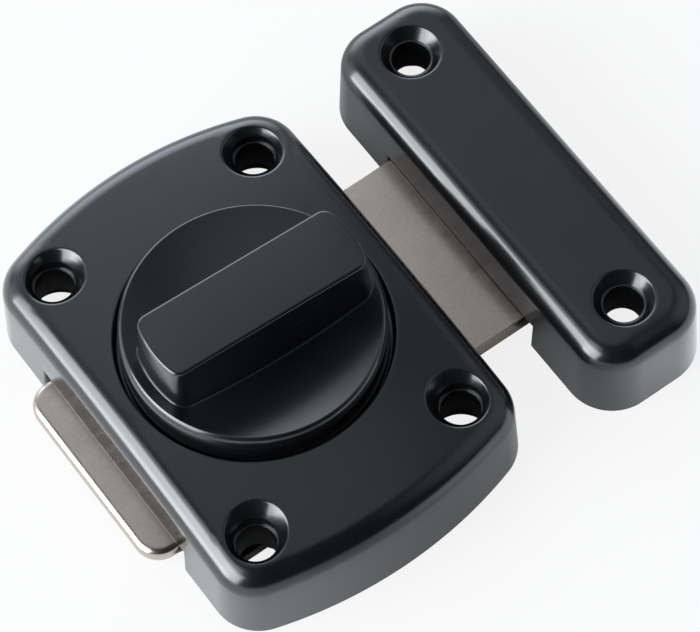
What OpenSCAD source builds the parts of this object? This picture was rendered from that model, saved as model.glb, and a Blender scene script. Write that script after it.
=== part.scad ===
// Quarter-turn door bolt: a cast housing with a thumbturn, a sliding steel bolt and a cast keeper.
// Frame: X is the bolt's travel towards the keeper, Z points out of the door, and Z = 0 is the door's face.
// The origin is under the thumbturn's axis. The bolt is thrown into the keeper.

/* [Housing] */
// Width along the bolt, at the door's face
body_w = 53; // [51:0.5:60]
// Length across the bolt, at the door's face
body_l = 74.8; // [73:0.2:85]
// Height at the middle of the crowned face
body_h = 17.9; // [17.3:0.1:20]
// Radius of the bowed ends
end_r = 72; // [60:1:120]
// Radius of the upright corners
corner_r = 7.5; // [5.5:0.1:10]
// Radius of the soft edge round the face
edge_r = 3.6; // [3:0.1:6]
// Radius of the face's crown across the housing
crown_x_r = 175; // [150:5:600]
// Radius of the face's crown along the housing
crown_y_r = 310; // [200:5:800]
// Thinnest cast wall
wall = 3; // [2.4:0.1:3.4]

/* [Casting] */
// Draft angle of the cast walls, in degrees
draft = 3; // [0.5:0.1:4]
// Depth of the end pockets behind the face
pocket_h = 9; // [4:0.5:10]

/* [Screw holes] */
// Spacing of the housing's screw holes along the bolt
hole_dx = 36.6; // [36:0.1:40]
// Spacing of the housing's screw holes across the bolt
hole_dy = 52.6; // [52:0.1:54]
// Screw hole diameter
hole_d = 6; // [4:0.1:6.4]
// Countersink diameter at the face
csk_d = 9.4; // [8:0.1:10]
// Countersink depth
csk_h = 1.9; // [1.5:0.1:3]
// Diameter at the foot of the countersink
throat_d = 6.6; // [6.4:0.1:7.4]
// Depth of the ledge in the housing's screw holes below the face
ledge_h = 3.4; // [3:0.1:5]
// Diameter of the relief behind each of the housing's screw holes
relief_d = 9.8; // [7:0.1:9.8]
// How much farther the relief reaches towards the housing's end
relief_reach = 0.6; // [0.2:0.1:0.8]
// Depth of the relief behind each of the housing's screw holes
relief_h = 5.2; // [2:0.1:7]

/* [Thumbturn] */
// Disc diameter at its top
disc_d = 39.4; // [36:0.1:41]
// Height of the disc's top above the edge of its recess
disc_rise = 3.5; // [2:0.1:5]
// Running gap round the disc
disc_gap = 1.3; // [0.5:0.1:1.6]
// Depth of the disc's recess in the face
recess_h = 3; // [2:0.1:3.4]
// Rounding of the disc's rim
disc_rim_r = 0.4; // [0.2:0.1:1.2]
// Length of the grip at its top
grip_l = 34.2; // [28:0.1:36]
// Width of the grip at its top
grip_w = 11.4; // [7:0.1:14]
// Height of the grip above the disc
grip_h = 8.3; // [5:0.1:14]
// Turn of the grip against the bolt's line at rest, in degrees
grip_turn = -2.2; // [-4:0.1:4]
// Draft angle of the grip's sides, in degrees
grip_draft = 5; // [1:0.5:7]
// Plan radius of the grip's corners at the disc
grip_corner_r = 1.5; // [1.4:0.1:3]
// Rounding of the grip's top edge
grip_edge_r = 0.5; // [0.2:0.1:0.6]
// Fillet where the grip meets the disc
grip_fillet_r = 0.6; // [0.3:0.1:1]

/* [Bolt] */
// Width of the bolt plate
bolt_w = 34.2; // [33.4:0.1:34.6]
// Thickness of the bolt plate
bolt_t = 3.1; // [2:0.1:3.2]
// Length of the tail that stands out of the housing
tail_l = 4.6; // [2:0.1:8]
// Length of bolt inside the keeper
throw_l = 8.6; // [5:0.1:9.5]
// Plan radius of the bolt's corners
bolt_corner_r = 4; // [2:0.1:6]
// Rounding of the bolt's end edges
nose_r = 1.2; // [0.4:0.1:1.4]
// Gap at each side of the bolt where it leaves the housing
slot_gap = 1.3; // [0.4:0.1:1.4]
// Clearance above and below the bolt plate
bolt_play = 0.2; // [0.1:0.05:0.3]

/* [Drive] */
// Distance of the drive pin from the thumbturn's axis
crank_r = 12.5; // [11:0.1:12.6]
// Drive pin diameter
pin_d = 4; // [3:0.1:4.2]
// Diameter of the thumbturn's journal
journal_d = 12; // [9:0.1:14]
// Running clearance of the journal, on the radius
journal_fit = 0.06; // [0.03:0.01:0.1]
// Side of the square drive below the journal
square_w = 7; // [6:0.1:7.6]
// Thickness of the cam
cam_t = 2.4; // [1.5:0.1:2.5]
// Thread diameter of the screw that holds the cam
cam_screw_d = 4; // [3:0.1:4.4]
// Thickness of the nylon ring under the disc
ring_t = 0.4; // [0.2:0.05:0.8]
// Thickness of the steel washer behind the face
washer_t = 0.4; // [0.2:0.05:0.5]

/* [Back plate] */
// Thickness of the back plate
back_t = 2; // [1.5:0.1:2.2]
// Overlap of the back plate beyond each side of the bolt's slot
back_lap = 4.55; // [4.2:0.05:4.8]
// Width of the back plate along the bolt
back_w = 34.4; // [32:0.2:34.6]
// Place of the back plate's middle along the bolt
back_x = -4.8; // [-5:0.1:-4.6]
// Spacing of the back plate's screws along the bolt
back_screw_dx = 18; // [14:0.5:19]
// Thread diameter of the back plate's screws
back_screw_d = 2.2; // [1.8:0.1:2.4]

/* [Keeper] */
// Gap between the housing and the keeper
keeper_gap = 10.1; // [3:0.1:11]
// Place of the keeper's middle across the bolt: a little off its line
keeper_y = -0.7; // [-0.8:0.1:0.8]
// Width of the keeper along the bolt, at the door frame
keeper_w = 21.9; // [20:0.1:26]
// Length of the keeper across the bolt
keeper_l = 72.4; // [68:0.2:84]
// Height of the keeper
keeper_h = 15; // [13:0.1:17]
// Radius of the keeper's upright corners
keeper_corner_r = 7.6; // [5:0.1:9]
// Radius of the keeper's top edge
keeper_edge_r = 3.8; // [1:0.1:4]
// Spacing of the keeper's screw holes
keeper_hole_dy = 53.3; // [52:0.1:56]
// Wall of the keeper round the bolt's hollow
keeper_wall = 2.4; // [2:0.1:3]
// Diameter of the relief behind each of the keeper's screw holes
keeper_relief_d = 13.4; // [8:0.1:13.4]
// Depth of the relief behind each of the keeper's screw holes
keeper_relief_h = 6; // [2:0.1:8]

/* [Hidden] */
$fn = 96;
// Overlap of a cutter beyond the face that it opens
over = 1;
// Axial play between turning faces
play = 0.05;
// Clearance round pieces that lie in a seat
seat_fit = 0.1;
// Clearance of the ring and the washer round the journal
ring_fit = 0.2;
// Width of the washer beyond the journal, and of the disc beyond its ring
washer_land = 3;
ring_inset = 3;

// Levels of the bolt and its slot
bolt_z0 = back_t + bolt_play;
bolt_z1 = bolt_z0 + bolt_t;
slot_z = bolt_z1 + bolt_play;
slot_w = bolt_w + 2 * slot_gap;

// Levels of the thumbturn's stack, from the face down
recess_r = disc_d / 2 + disc_gap;
rim_z = crown(recess_r * cos(45), recess_r * sin(45));
disc_z1 = rim_z + disc_rise;
floor_z = rim_z - recess_h;
disc_z0 = floor_z + ring_t + play;
under_z = floor_z - wall;
cam_z1 = under_z - washer_t - play;
cam_z0 = cam_z1 - cam_t;

// Crank geometry: the pin swings from 45 degrees before the cross line to 45 degrees past it
swing = 45;
travel = 2 * crank_r * sin(swing);
// A steady ratio of slide to turn leaves the pin this far from the slot's middle, at most
pin_lag = crank_r * (sin(swing / 2) - sin(swing) / 2);
pin_slot_play = 0.12;
pin_slot_w = pin_d + 2 * (pin_lag + pin_slot_play);
// Metal of the cam round the pin and round the square, and the room that it turns in
cam_eye_wall = 1.5;
cam_hub_wall = 2.2;
cam_clear = 0.6;
cam_eye_r = pin_d / 2 + cam_eye_wall;
cam_hub_r = square_w * sqrt(2) / 2 + cam_hub_wall;
// The pin's thinner end, riveted into the cam, as a share of the pin's diameter
rivet_share = 0.36;
rivet_r = pin_d * rivet_share;
cam_room_r = crank_r + cam_eye_r + cam_clear;

// Bolt ends and keeper place
bolt_x0 = -body_w / 2 - tail_l;
keeper_x0 = body_w / 2 + keeper_gap;
bolt_x1 = keeper_x0 + throw_l;
keeper_x = keeper_x0 + keeper_w / 2;

// Length of the back plate across the bolt, and its corners
back_l = slot_w + 2 * back_lap;
back_corner_r = 1.5;

// How far inside the housing and the keeper the bolt's rounded edges turn into sharp ones
sharp_lap = 2;

// Small screws: head diameter and pan head height to thread diameter, cross recess width to its length
head_ratio = 1.8;
pan_ratio = 0.32;
recess_ratio = 0.25;
cam_screw_head_d = cam_screw_d * head_ratio;
cam_screw_head_h = cam_screw_d * pan_ratio;
cam_screw_l = 7;
thread_fit = 0.05;
back_screw_l = 6;
back_screw_head_d = back_screw_d * head_ratio;
back_screw_head_h = (back_screw_head_d - back_screw_d) / 2;
back_screw_dy = (slot_w + back_l) / 2;
drive_recess_h = 0.7;

// Steps of the cast shells
side_steps = 4;
corner_steps = 8;
end_steps = 7;
edge_steps = 8;
fillet_steps = 4;
// Facets of the preview's fine and wide circles
small_fn = 48;
disc_fn = 160;
wide_fn = 240;
crown_rings = [0.86, 0.72, 0.58];
straight = 4000;
black = "#2b2d30";
steel = "#8f8b84";
zinc = "#b4b7bb";
nylon = "#e4e2da";

// Height of the housing's crowned face
function crown(x, y) = body_h - x * x / (2 * crown_x_r) - y * y / (2 * crown_y_r);

// A quarter of a shell's outline as [x, y, direction of the outward normal]
function quarter(w, l, er, cr) =
    let (
        ax = w / 2 - cr,
        ir = er - cr,
        y0 = l / 2 - er,
        yc = y0 + sqrt(ir * ir - ax * ax),
        fan = asin(ax / ir)
    )
    concat(
        [for (i = [0:side_steps]) [w / 2, yc * i / side_steps, 0]],
        [
            for (i = [1:corner_steps])
                let (t = (90 - fan) * i / corner_steps)
                [ax + cr * cos(t), yc + cr * sin(t), t]
        ],
        [
            for (i = [1:end_steps])
                let (t = 90 - fan * (1 - i / end_steps))
                [er * cos(t), y0 + er * sin(t), t]
        ]
    );

// A whole outline, anticlockwise, from its quarter
function whole(q) =
    let (n = len(q))
    concat(
        q,
        [for (i = [n - 2:-1:0]) [-q[i].x, q[i].y, 180 - q[i].z]],
        [for (i = [1:n - 1]) [-q[i].x, -q[i].y, 180 + q[i].z]],
        [for (i = [n - 2:-1:1]) [q[i].x, -q[i].y, 360 - q[i].z]]
    );

// Height of a shell's face: crowned on the housing, flat on the keeper
function face_z(h, x, y) = h > 0 ? h : crown(x, y);

// One loop of a shell's edge; turn runs from the wall's draft to 90 degrees at the face
function edge_loop(o, h, r, turn) = [
    for (p = o)
        let (
            wall_z = face_z(h, p.x, p.y) - r * (1 - sin(draft)),
            inset = wall_z * tan(draft) + r * (cos(draft) - cos(turn)),
            x = p.x - inset * cos(p.z),
            y = p.y - inset * sin(p.z)
        )
        [x, y, face_z(h, x, y) - r * (1 - sin(turn))]
];

// A face ring drawn in towards the middle
function face_ring(loop, h, k) = [for (p = loop) [p.x * k, p.y * k, face_z(h, p.x * k, p.y * k)]];

// Solid through a stack of loops with as many points each, closed round a middle point at each end
module loft(loops, low_z, high_z) {
    n = len(loops[0]);
    top = len(loops) - 1;
    points = concat([for (loop = loops) each loop], [[0, 0, low_z], [0, 0, high_z]]);
    middle = len(points) - 2;
    skin = [
        for (j = [0:top - 1], i = [0:n - 1])
            let (a = j * n + i, b = j * n + (i + 1) % n)
            each [[a, a + n, b + n], [a, b + n, b]]
    ];
    base = [for (i = [0:n - 1]) [middle, i, (i + 1) % n]];
    cap = [for (i = [0:n - 1]) [middle + 1, top * n + (i + 1) % n, top * n + i]];
    polyhedron(points = points, faces = concat(base, skin, cap), convexity = 4);
}

// Cast shell: drafted walls, a round edge and a face; h = 0 takes the crowned face
module cast_shell(w, l, er, cr, h, r) {
    o = whole(quarter(w, l, er, cr));
    foot = [for (p = o) [p.x, p.y, 0]];
    edges = [for (j = [0:edge_steps]) edge_loop(o, h, r, draft + (90 - draft) * j / edge_steps)];
    rings = [for (k = crown_rings) face_ring(edges[edge_steps], h, k)];
    loft(concat([foot], edges, rings), 0, face_z(h, 0, 0));
}

// Cylinder between two levels
module rod(r, z0, z1) {
    translate([0, 0, z0])
        cylinder(r = r, h = z1 - z0);
}

// Box centred on X and Y between two levels
module slab(w, l, z0, z1) {
    translate([-w / 2, -l / 2, z0])
        cube([w, l, z1 - z0]);
}

// Plate with rounded corners between two levels
module round_slab(w, l, r, z0, z1) {
    slab(w - 2 * r, l, z0, z1);
    slab(w, l - 2 * r, z0, z1);
    for (sx = [-1, 1], sy = [-1, 1])
        translate([sx * (w / 2 - r), sy * (l / 2 - r), 0])
            rod(r, z0, z1);
}

// Screw hole up through a face at level z, with its countersink and a ledge at a depth below the face
module screw_hole(z, ledge) {
    rod(hole_d / 2, -over, z);
    rod(throat_d / 2, z - ledge, z);
    slope = (csk_d - throat_d) / 2 / csk_h;
    translate([0, 0, z - csk_h])
        cylinder(r1 = throat_d / 2, r2 = csk_d / 2 + slope * over, h = csk_h + over);
}

// Relief behind one of the housing's screw holes, longer towards the end at the side sy
module relief(sy) {
    rod(relief_d / 2, -over, relief_h);
    translate([0, sy * relief_reach / 2, 0])
        slab(relief_d, relief_reach, -over, relief_h);
    translate([0, sy * relief_reach, 0])
        rod(relief_d / 2, -over, relief_h);
}

// The housing's four screw holes
module housing_holes() {
    for (sx = [-1, 1], sy = [-1, 1])
        translate([sx * hole_dx / 2, sy * hole_dy / 2, 0]) {
            screw_hole(crown(hole_dx / 2, hole_dy / 2), ledge_h);
            relief(sy);
        }
}

// Pocket behind the face at one end of the housing, between two screw bosses
module end_pocket() {
    boss_r = relief_d / 2 + relief_reach + wall / 2;
    y0 = back_l / 2 + wall / 2;
    linear_extrude(height = pocket_h + over)
        difference() {
            intersection() {
                translate([0, body_l / 2 - end_r])
                    circle(r = end_r - wall, $fn = wide_fn);
                translate([-hole_dx / 2, y0])
                    square([hole_dx, body_l]);
            }
            for (sx = [-1, 1])
                translate([sx * hole_dx / 2, hole_dy / 2])
                    circle(r = boss_r);
            for (sx = [-1, 1])
                translate([sx * hole_dx / 2 - hole_d / 2, 0])
                    square([hole_d, body_l]);
        }
}

// Countersunk seat and thread hole for a back plate screw, opened towards the door
module back_screw_hole(fit) {
    rod(back_screw_d / 2 + fit, -over, back_screw_l + fit);
    head_r = back_screw_head_d / 2 + fit;
    translate([0, 0, -over])
        cylinder(r1 = head_r + over, r2 = back_screw_d / 2 + fit, h = back_screw_head_h + over);
}

// Places a child at one back plate screw, numbered 1 to 4
module at_back_screw(i) {
    sx = i % 2 == 1 ? -1 : 1;
    sy = i > 2 ? -1 : 1;
    translate([sx * back_screw_dx / 2, sy * back_screw_dy / 2, 0])
        children();
}

module housing() {
    color(black)
        difference() {
            cast_shell(body_w, body_l, end_r, corner_r, 0, edge_r);
            rod(recess_r, floor_z, disc_z1 + over);
            rod(journal_d / 2 + journal_fit, slot_z, disc_z1);
            rod(cam_room_r, slot_z - over, under_z);
            slab(body_w + 2 * over, slot_w, -over, slot_z);
            translate([back_x, 0, 0])
                slab(back_w + 2 * seat_fit, back_l + 2 * seat_fit, -over, back_t);
            for (i = [1:4])
                at_back_screw(i)
                    rod(back_screw_d / 2 + thread_fit, 0, back_screw_l + seat_fit);
            housing_holes();
            for (turn = [0, 180])
                rotate([0, 0, turn])
                    translate([0, 0, -over])
                        end_pocket();
        }
}

module back_plate() {
    color(zinc)
        difference() {
            translate([back_x, 0, 0])
                round_slab(back_w, back_l, back_corner_r, 0, back_t);
            for (i = [1:4])
                at_back_screw(i)
                    back_screw_hole(thread_fit);
        }
}

// Countersunk screw with a cross recess, head towards the door
module back_screw(i) {
    recess_l = back_screw_d;
    color(zinc)
        at_back_screw(i)
            difference() {
                union() {
                    rod(back_screw_d / 2, 0, back_screw_l);
                    cylinder(r1 = back_screw_head_d / 2, r2 = back_screw_d / 2, h = back_screw_head_h);
                }
                for (turn = [0, 90])
                    rotate([0, 0, turn])
                        slab(recess_l, recess_l * recess_ratio, -over, drive_recess_h);
            }
}

// A quarter of the grip's outline at the disc: its ends follow the disc
function grip_quarter() =
    let (
        c = grip_corner_r,
        r = grip_l / 2 + grip_h * tan(grip_draft),
        w = grip_w / 2 + grip_h * tan(grip_draft),
        fan = asin((w - c) / (r - c))
    )
    concat(
        [for (i = [0:side_steps]) let (t = fan * i / side_steps) [r * cos(t), r * sin(t), t]],
        [
            for (i = [1:corner_steps])
                let (t = fan + (90 - fan) * i / corner_steps)
                [(r - c) * cos(fan) + c * cos(t), w - c + c * sin(t), t]
        ],
        [[0, w, 90]]
    );

// Side view of the grip as [distance out from the outline at the disc, height above the disc]
function grip_profile() =
    let (a = grip_draft, f = grip_fillet_r, e = grip_edge_r, foot = f * (cos(a) - (1 - sin(a)) * tan(a)))
    concat(
        [[foot, -over]],
        [
            for (i = [0:fillet_steps])
                let (t = 90 - (90 - a) * i / fillet_steps)
                [foot - f * cos(t), f * (1 - sin(t))]
        ],
        [
            for (i = [0:edge_steps])
                let (t = a + (90 - a) * i / edge_steps)
                [
                    -(grip_h - e * (1 - sin(a))) * tan(a) - e * (cos(a) - cos(t)),
                    grip_h - e * (1 - sin(t))
                ]
        ]
    );

// Grip: a bar with drafted sides, a soft top edge and a fillet at the disc
module grip() {
    o = whole(grip_quarter());
    c = cos(grip_turn);
    s = sin(grip_turn);
    loops = [
        for (q = grip_profile())
            [
                for (p = o)
                    let (x = p.x + q.x * cos(p.z), y = p.y + q.x * sin(p.z))
                    [x * c - y * s, x * s + y * c, disc_z1 + q.y]
            ]
    ];
    loft(loops, disc_z1 - over, disc_z1 + grip_h);
}

// Half section of the disc, turned round the axis
module disc_section() {
    r = disc_d / 2;
    translate([0, disc_z0])
        square([r, disc_z1 - disc_z0 - disc_rim_r]);
    translate([0, disc_z0])
        square([r - disc_rim_r, disc_z1 - disc_z0]);
    translate([r - disc_rim_r, disc_z1 - disc_rim_r])
        circle(r = disc_rim_r, $fn = small_fn);
}

module thumbturn() {
    color(black)
        difference() {
            union() {
                rotate_extrude($fn = disc_fn)
                    disc_section();
                grip();
                rod(journal_d / 2, cam_z1, disc_z0 + over);
                slab(square_w, square_w, cam_z0 + play, cam_z1 + over);
            }
            rod(cam_screw_d / 2 + thread_fit, cam_z0 - over, cam_z0 + cam_screw_l + seat_fit);
        }
}

// Nylon ring under the disc
module friction_ring() {
    color(nylon)
        difference() {
            rod(disc_d / 2 - ring_inset, floor_z, floor_z + ring_t);
            rod(journal_d / 2 + ring_fit, floor_z - over, floor_z + ring_t + over);
        }
}

// Steel washer between the face's back and the cam
module thrust_washer() {
    color(zinc)
        difference() {
            rod(journal_d / 2 + washer_land, under_z - washer_t, under_z);
            rod(journal_d / 2 + ring_fit, under_z - washer_t - over, under_z + over);
        }
}

// Crank arm on the square drive
module cam() {
    color(zinc)
        difference() {
            rotate([0, 0, 90 - swing])
                union() {
                    rod(cam_hub_r, cam_z0, cam_z1);
                    translate([0, -cam_eye_r, cam_z0])
                        cube([crank_r, 2 * cam_eye_r, cam_t]);
                    translate([crank_r, 0, 0])
                        rod(cam_eye_r, cam_z0, cam_z1);
                }
            slab(square_w + 2 * play, square_w + 2 * play, cam_z0 - over, cam_z1 + over);
            rotate([0, 0, 90 - swing])
                translate([crank_r, 0, 0])
                    rod(rivet_r + thread_fit, cam_z0 - over, cam_z1 + over);
        }
}

// Shouldered pin riveted into the cam
module drive_pin() {
    color(steel)
        rotate([0, 0, 90 - swing])
            translate([crank_r, 0, 0]) {
                rod(pin_d / 2, bolt_z0 + bolt_play, cam_z0);
                rod(rivet_r, cam_z0, cam_z1);
            }
}

// Pan head screw that clamps the cam to the thumbturn
module cam_screw() {
    head_z = cam_z0 - cam_screw_head_h;
    color(zinc)
        difference() {
            union() {
                rod(cam_screw_head_d / 2, head_z, cam_z0);
                rod(cam_screw_d / 2, head_z, cam_z0 + cam_screw_l);
            }
            for (turn = [0, 90])
                rotate([0, 0, turn])
                    slab(cam_screw_d, cam_screw_d * recess_ratio, head_z - over, head_z + drive_recess_h);
        }
}

// Bar from x0 to x1 as thick as the bolt plate, with rounded edges, in X and Z
module round_bar(x0, x1) {
    translate([x0 + nose_r, bolt_z0])
        square([x1 - x0 - 2 * nose_r, bolt_t]);
    translate([x0, bolt_z0 + nose_r])
        square([x1 - x0, bolt_t - 2 * nose_r]);
    for (x = [x0 + nose_r, x1 - nose_r], z = [bolt_z0 + nose_r, bolt_z1 - nose_r])
        translate([x, z])
            circle(r = nose_r, $fn = small_fn);
}

// Bolt plate: rounded ends and corners, and sharp sides where it runs in its slot
module bolt_plate() {
    inner_y = bolt_w / 2 - bolt_corner_r;
    inner_x0 = bolt_x0 + bolt_corner_r;
    inner_x1 = bolt_x1 - bolt_corner_r;
    sharp_x0 = -body_w / 2 + sharp_lap;
    sharp_x1 = keeper_x0 + sharp_lap;
    translate([0, inner_y, 0])
        rotate([90, 0, 0])
            linear_extrude(height = 2 * inner_y)
                round_bar(bolt_x0, bolt_x1);
    translate([inner_x0, 0, 0])
        rotate([90, 0, 90])
            linear_extrude(height = inner_x1 - inner_x0)
                round_bar(-bolt_w / 2, bolt_w / 2);
    for (x = [inner_x0, inner_x1], y = [-inner_y, inner_y])
        translate([x, y, 0])
            rotate_extrude()
                intersection() {
                    round_bar(-bolt_corner_r, bolt_corner_r);
                    translate([0, bolt_z0 - over])
                        square([bolt_corner_r + over, bolt_t + 2 * over]);
                }
    translate([(sharp_x0 + sharp_x1) / 2, 0, 0])
        slab(sharp_x1 - sharp_x0, bolt_w, bolt_z0, bolt_z1);
}

// Bolt plate with the cross slot for the drive pin
module bolt() {
    slot_x = crank_r * sin(swing);
    slot_y0 = crank_r * cos(swing) - pin_d / 2 - pin_slot_play;
    slot_y1 = crank_r + pin_d / 2 + pin_slot_play;
    slot_r = pin_slot_w / 2;
    color(steel)
        difference() {
            bolt_plate();
            translate([slot_x, 0, 0]) {
                translate([-slot_r, slot_y0 + slot_r, bolt_z0 - over])
                    cube([2 * slot_r, slot_y1 - slot_y0 - 2 * slot_r, bolt_t + 2 * over]);
                for (y = [slot_y0 + slot_r, slot_y1 - slot_r])
                    translate([0, y, 0])
                        rod(slot_r, bolt_z0 - over, bolt_z1 + over);
            }
        }
}

module keeper() {
    inner_w = keeper_w - 2 * keeper_wall;
    color(black)
        translate([keeper_x, keeper_y, 0])
            difference() {
                cast_shell(keeper_w, keeper_l, straight, keeper_corner_r, keeper_h, keeper_edge_r);
                slab(inner_w, slot_w, -over, keeper_h - wall);
                translate([-keeper_w / 2, 0, 0])
                    slab(keeper_w, slot_w, -over, slot_z);
                for (sy = [-1, 1])
                    translate([0, sy * keeper_hole_dy / 2, 0]) {
                        screw_hole(keeper_h, csk_h);
                        rod(keeper_relief_d / 2, -over, keeper_relief_h);
                    }
            }
}

housing();
back_plate();
back_screw(1);  // back_screw_1
back_screw(2);  // back_screw_2
back_screw(3);  // back_screw_3
back_screw(4);  // back_screw_4
thumbturn();
friction_ring();
thrust_washer();
cam();
drive_pin();
cam_screw();
bolt();
keeper();
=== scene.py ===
import math

import bmesh
import bpy
import numpy as np
from mathutils import Matrix, Vector
from mathutils.geometry import delaunay_2d_cdt


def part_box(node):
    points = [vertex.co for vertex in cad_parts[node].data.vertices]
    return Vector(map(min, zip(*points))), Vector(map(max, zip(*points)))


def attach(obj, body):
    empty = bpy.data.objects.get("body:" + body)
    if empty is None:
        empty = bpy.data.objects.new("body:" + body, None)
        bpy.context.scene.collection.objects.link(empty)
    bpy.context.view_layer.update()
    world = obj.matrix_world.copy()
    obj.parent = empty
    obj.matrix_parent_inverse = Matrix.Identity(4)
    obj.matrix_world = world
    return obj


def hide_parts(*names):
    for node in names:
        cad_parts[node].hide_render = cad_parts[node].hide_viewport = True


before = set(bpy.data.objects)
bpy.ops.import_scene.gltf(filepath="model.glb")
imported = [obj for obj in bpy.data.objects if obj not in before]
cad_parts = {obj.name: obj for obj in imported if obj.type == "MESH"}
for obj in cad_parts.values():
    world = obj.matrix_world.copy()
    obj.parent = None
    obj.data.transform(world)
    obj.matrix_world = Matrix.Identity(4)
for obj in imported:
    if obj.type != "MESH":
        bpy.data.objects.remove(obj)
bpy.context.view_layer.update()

# Lengths of the pieces are in millimetres up to make_object, which writes metres
MM = 0.001
# Overlap of a cutter beyond the face that it opens
OVER = 1.0


def span(node):
    """Lowest and highest corners of a CAD node, in millimetres."""
    low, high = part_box(node)
    return np.array(low) / MM, np.array(high) / MM


HOUSING_LOW, HOUSING_HIGH = span("housing")
KEEPER_LOW, KEEPER_HIGH = span("keeper")
BOLT_LOW, BOLT_HIGH = span("bolt")
PLATE_LOW, PLATE_HIGH = span("back_plate")
CAM_LOW, CAM_HIGH = span("cam")
RING_LOW, RING_HIGH = span("friction_ring")
TURN_HIGH = span("thumbturn")[1]
WASHER_HIGH = span("thrust_washer")[1]

# Cast shells
DRAFT = math.radians(3)
HOUSING_END_R = 72.0
HOUSING_CORNER_R = 7.5
HOUSING_EDGE_R = 3.6
CROWN_X_R = 175.0
CROWN_Y_R = 310.0
KEEPER_END_R = 4000.0
KEEPER_CORNER_R = 7.6
KEEPER_EDGE_R = 3.8
KEEPER_WALL = 2.4
WALL = 3.0
KEEPER_X = (KEEPER_LOW[0] + KEEPER_HIGH[0]) / 2
KEEPER_Y = (KEEPER_LOW[1] + KEEPER_HIGH[1]) / 2

# Screw holes: spacing, bore, countersink, ledge, the room behind them, and their soft edges
HOLE_DX = 36.6
HOLE_DY = 52.6
KEEPER_HOLE_DY = 53.3
HOLE_R = 3.0
CSK_R = 4.7
CSK_H = 1.9
THROAT_R = 3.3
LEDGE_H = 3.4
RELIEF_R = 4.9
RELIEF_REACH = 0.6
RELIEF_H = 5.2
KEEPER_RELIEF_R = 6.7
KEEPER_RELIEF_H = 6.0
HOLE_GUARD_R = 5.45
HOLE_LIP = 0.32
THROAT_LIP = 0.3
LEDGE_LIP = 0.14

# Bolt and its slot
BOLT_CORNER_R = 4.0
NOSE_R = 1.2
SIDE_R = 0.15
SLOT_GAP = 1.3
BOLT_PLAY = 0.2
SLOT_LIP = 0.3
SLOT_Z = BOLT_HIGH[2] + BOLT_PLAY
SLOT_HALF = BOLT_HIGH[1] + SLOT_GAP
# Where the bolt's edge goes from bullnosed to cut: inside the housing's left wall and in the keeper
TAIL_FADE = (HOUSING_LOW[0] + 0.2, HOUSING_LOW[0] + 1.8)
NOSE_FADE = (KEEPER_LOW[0] + 2.2, BOLT_HIGH[0] - BOLT_CORNER_R)

# Thumbturn and its recess
GRIP_H = 8.3
GRIP_L = 34.6
GRIP_W = 11.4
GRIP_X = 0.45
GRIP_TURN = math.radians(-2.2)
GRIP_DRAFT = math.radians(4)
GRIP_CORNER_R = 2.5
GRIP_EDGE_R = 0.5
GRIP_FILLET_R = 0.35
DISC_PROUD = 0.2
DISC_R = TURN_HIGH[0] + DISC_PROUD
DISC_RIM_R = 0.25
DISC_FLANK_R = 2.2
DISC_FLANK_TILT = math.radians(47)
DISC_CHAMFER = 0.3
DISH_R = 73.0
DISC_GAP = 0.9
DISC_TOP = TURN_HIGH[2] - GRIP_H
PLAY = 0.05
RECESS_R = DISC_R + DISC_GAP
RECESS_LIP = 0.35
RECESS_FILLET = 0.5
RECESS_GUARD_R = RECESS_R + 0.9
RECESS_MIDDLE_R = RECESS_R * 0.8
FLOOR_Z = RING_LOW[2]
DISC_BOTTOM = RING_HIGH[2] + PLAY
UNDER_Z = WASHER_HIGH[2]
JOURNAL_R = 6.0
JOURNAL_FIT = 0.06
SQUARE_W = 7.0
CAM_SCREW_R = 2.05
CAM_SCREW_L = 7.1
CAM_ROOM_R = 16.6
CRANK_R = 12.5
SWING = math.radians(45)
PIN_R = 2.0
PIN_SLOT_PLAY = 0.12

# Back plate seat and end pockets
SEAT_FIT = 0.1
BACK_SCREW_DX = 18.0
BACK_SCREW_DY = (2 * SLOT_HALF + PLATE_HIGH[1] - PLATE_LOW[1]) / 2
BACK_SCREW_R = 1.15
BACK_SCREW_L = 6.1
POCKET_H = 9.0

# Steps of the meshes
HOLE_SEGMENTS = 96
RECESS_SEGMENTS = 224
CUTTER_SEGMENTS = 96
DISC_SEGMENTS = 192
BORE_SEGMENTS = 48
LIP_STEPS = 6
LEDGE_STEPS = 4
FILLET_STEPS = 5
RIM_STEPS = 10
FLANK_STEPS = 8
POCKET_SIDE_STEPS = 13
POCKET_END_STEPS = 29
BOLT_SIDE_STEPS = 69
BOLT_END_STEPS = 19
BOLT_CORNER_STEPS = 14
BOLT_EDGE_STEPS = 9
PIN_SLOT_STEPS = 32
GRIP_EDGE_STEPS = 8
# Steps on a quarter of an outline: along a side, round a corner and along an end
HOUSING_STEPS = (22, 26, 18)
KEEPER_STEPS = (30, 26, 6)
# The same for the grip: along an end, round a corner and along a flank
GRIP_STEPS = (8, 12, 16)
# Shares of a wall's height with a loop, and turns of the round edge in degrees: up from the wall, then on the
# face
WALL_SHARES = (0, 0.25, 0.5, 0.75)
GRIP_WALL_SHARES = (0.33, 0.66)
EDGE_TURNS = (3, 8, 13, 18, 23, 28, 33, 38, 43, 48, 53, 58)
FACE_TURNS = (63, 68, 73, 78, 83, 88, 90)
# Grid of a face: its step, its share of the face, and its distance from the rings of the holes
GRID_STEP = 1.4
GRID_SHARE = 0.975
RING_CLEARANCE = 0.75
# Points on the dished top: distances from its rim and from the grip's foot
CAP_RINGS = (0.25, 0.8)
CAP_RING_TO_FOOT = 0.2
CAP_FOOT_RING = 0.25
CAP_FOOT_RING_TO_RIM = 0.15
CAP_GRID_TO_FOOT = 0.9
CAP_GRID_TO_RIM = 1.4
# Rounds of the two repeated estimates: where a countersink meets the crowned face, and the grip the dish
COUNTERSINK_ROUNDS = 30
FOOT_ROUNDS = 8
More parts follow.
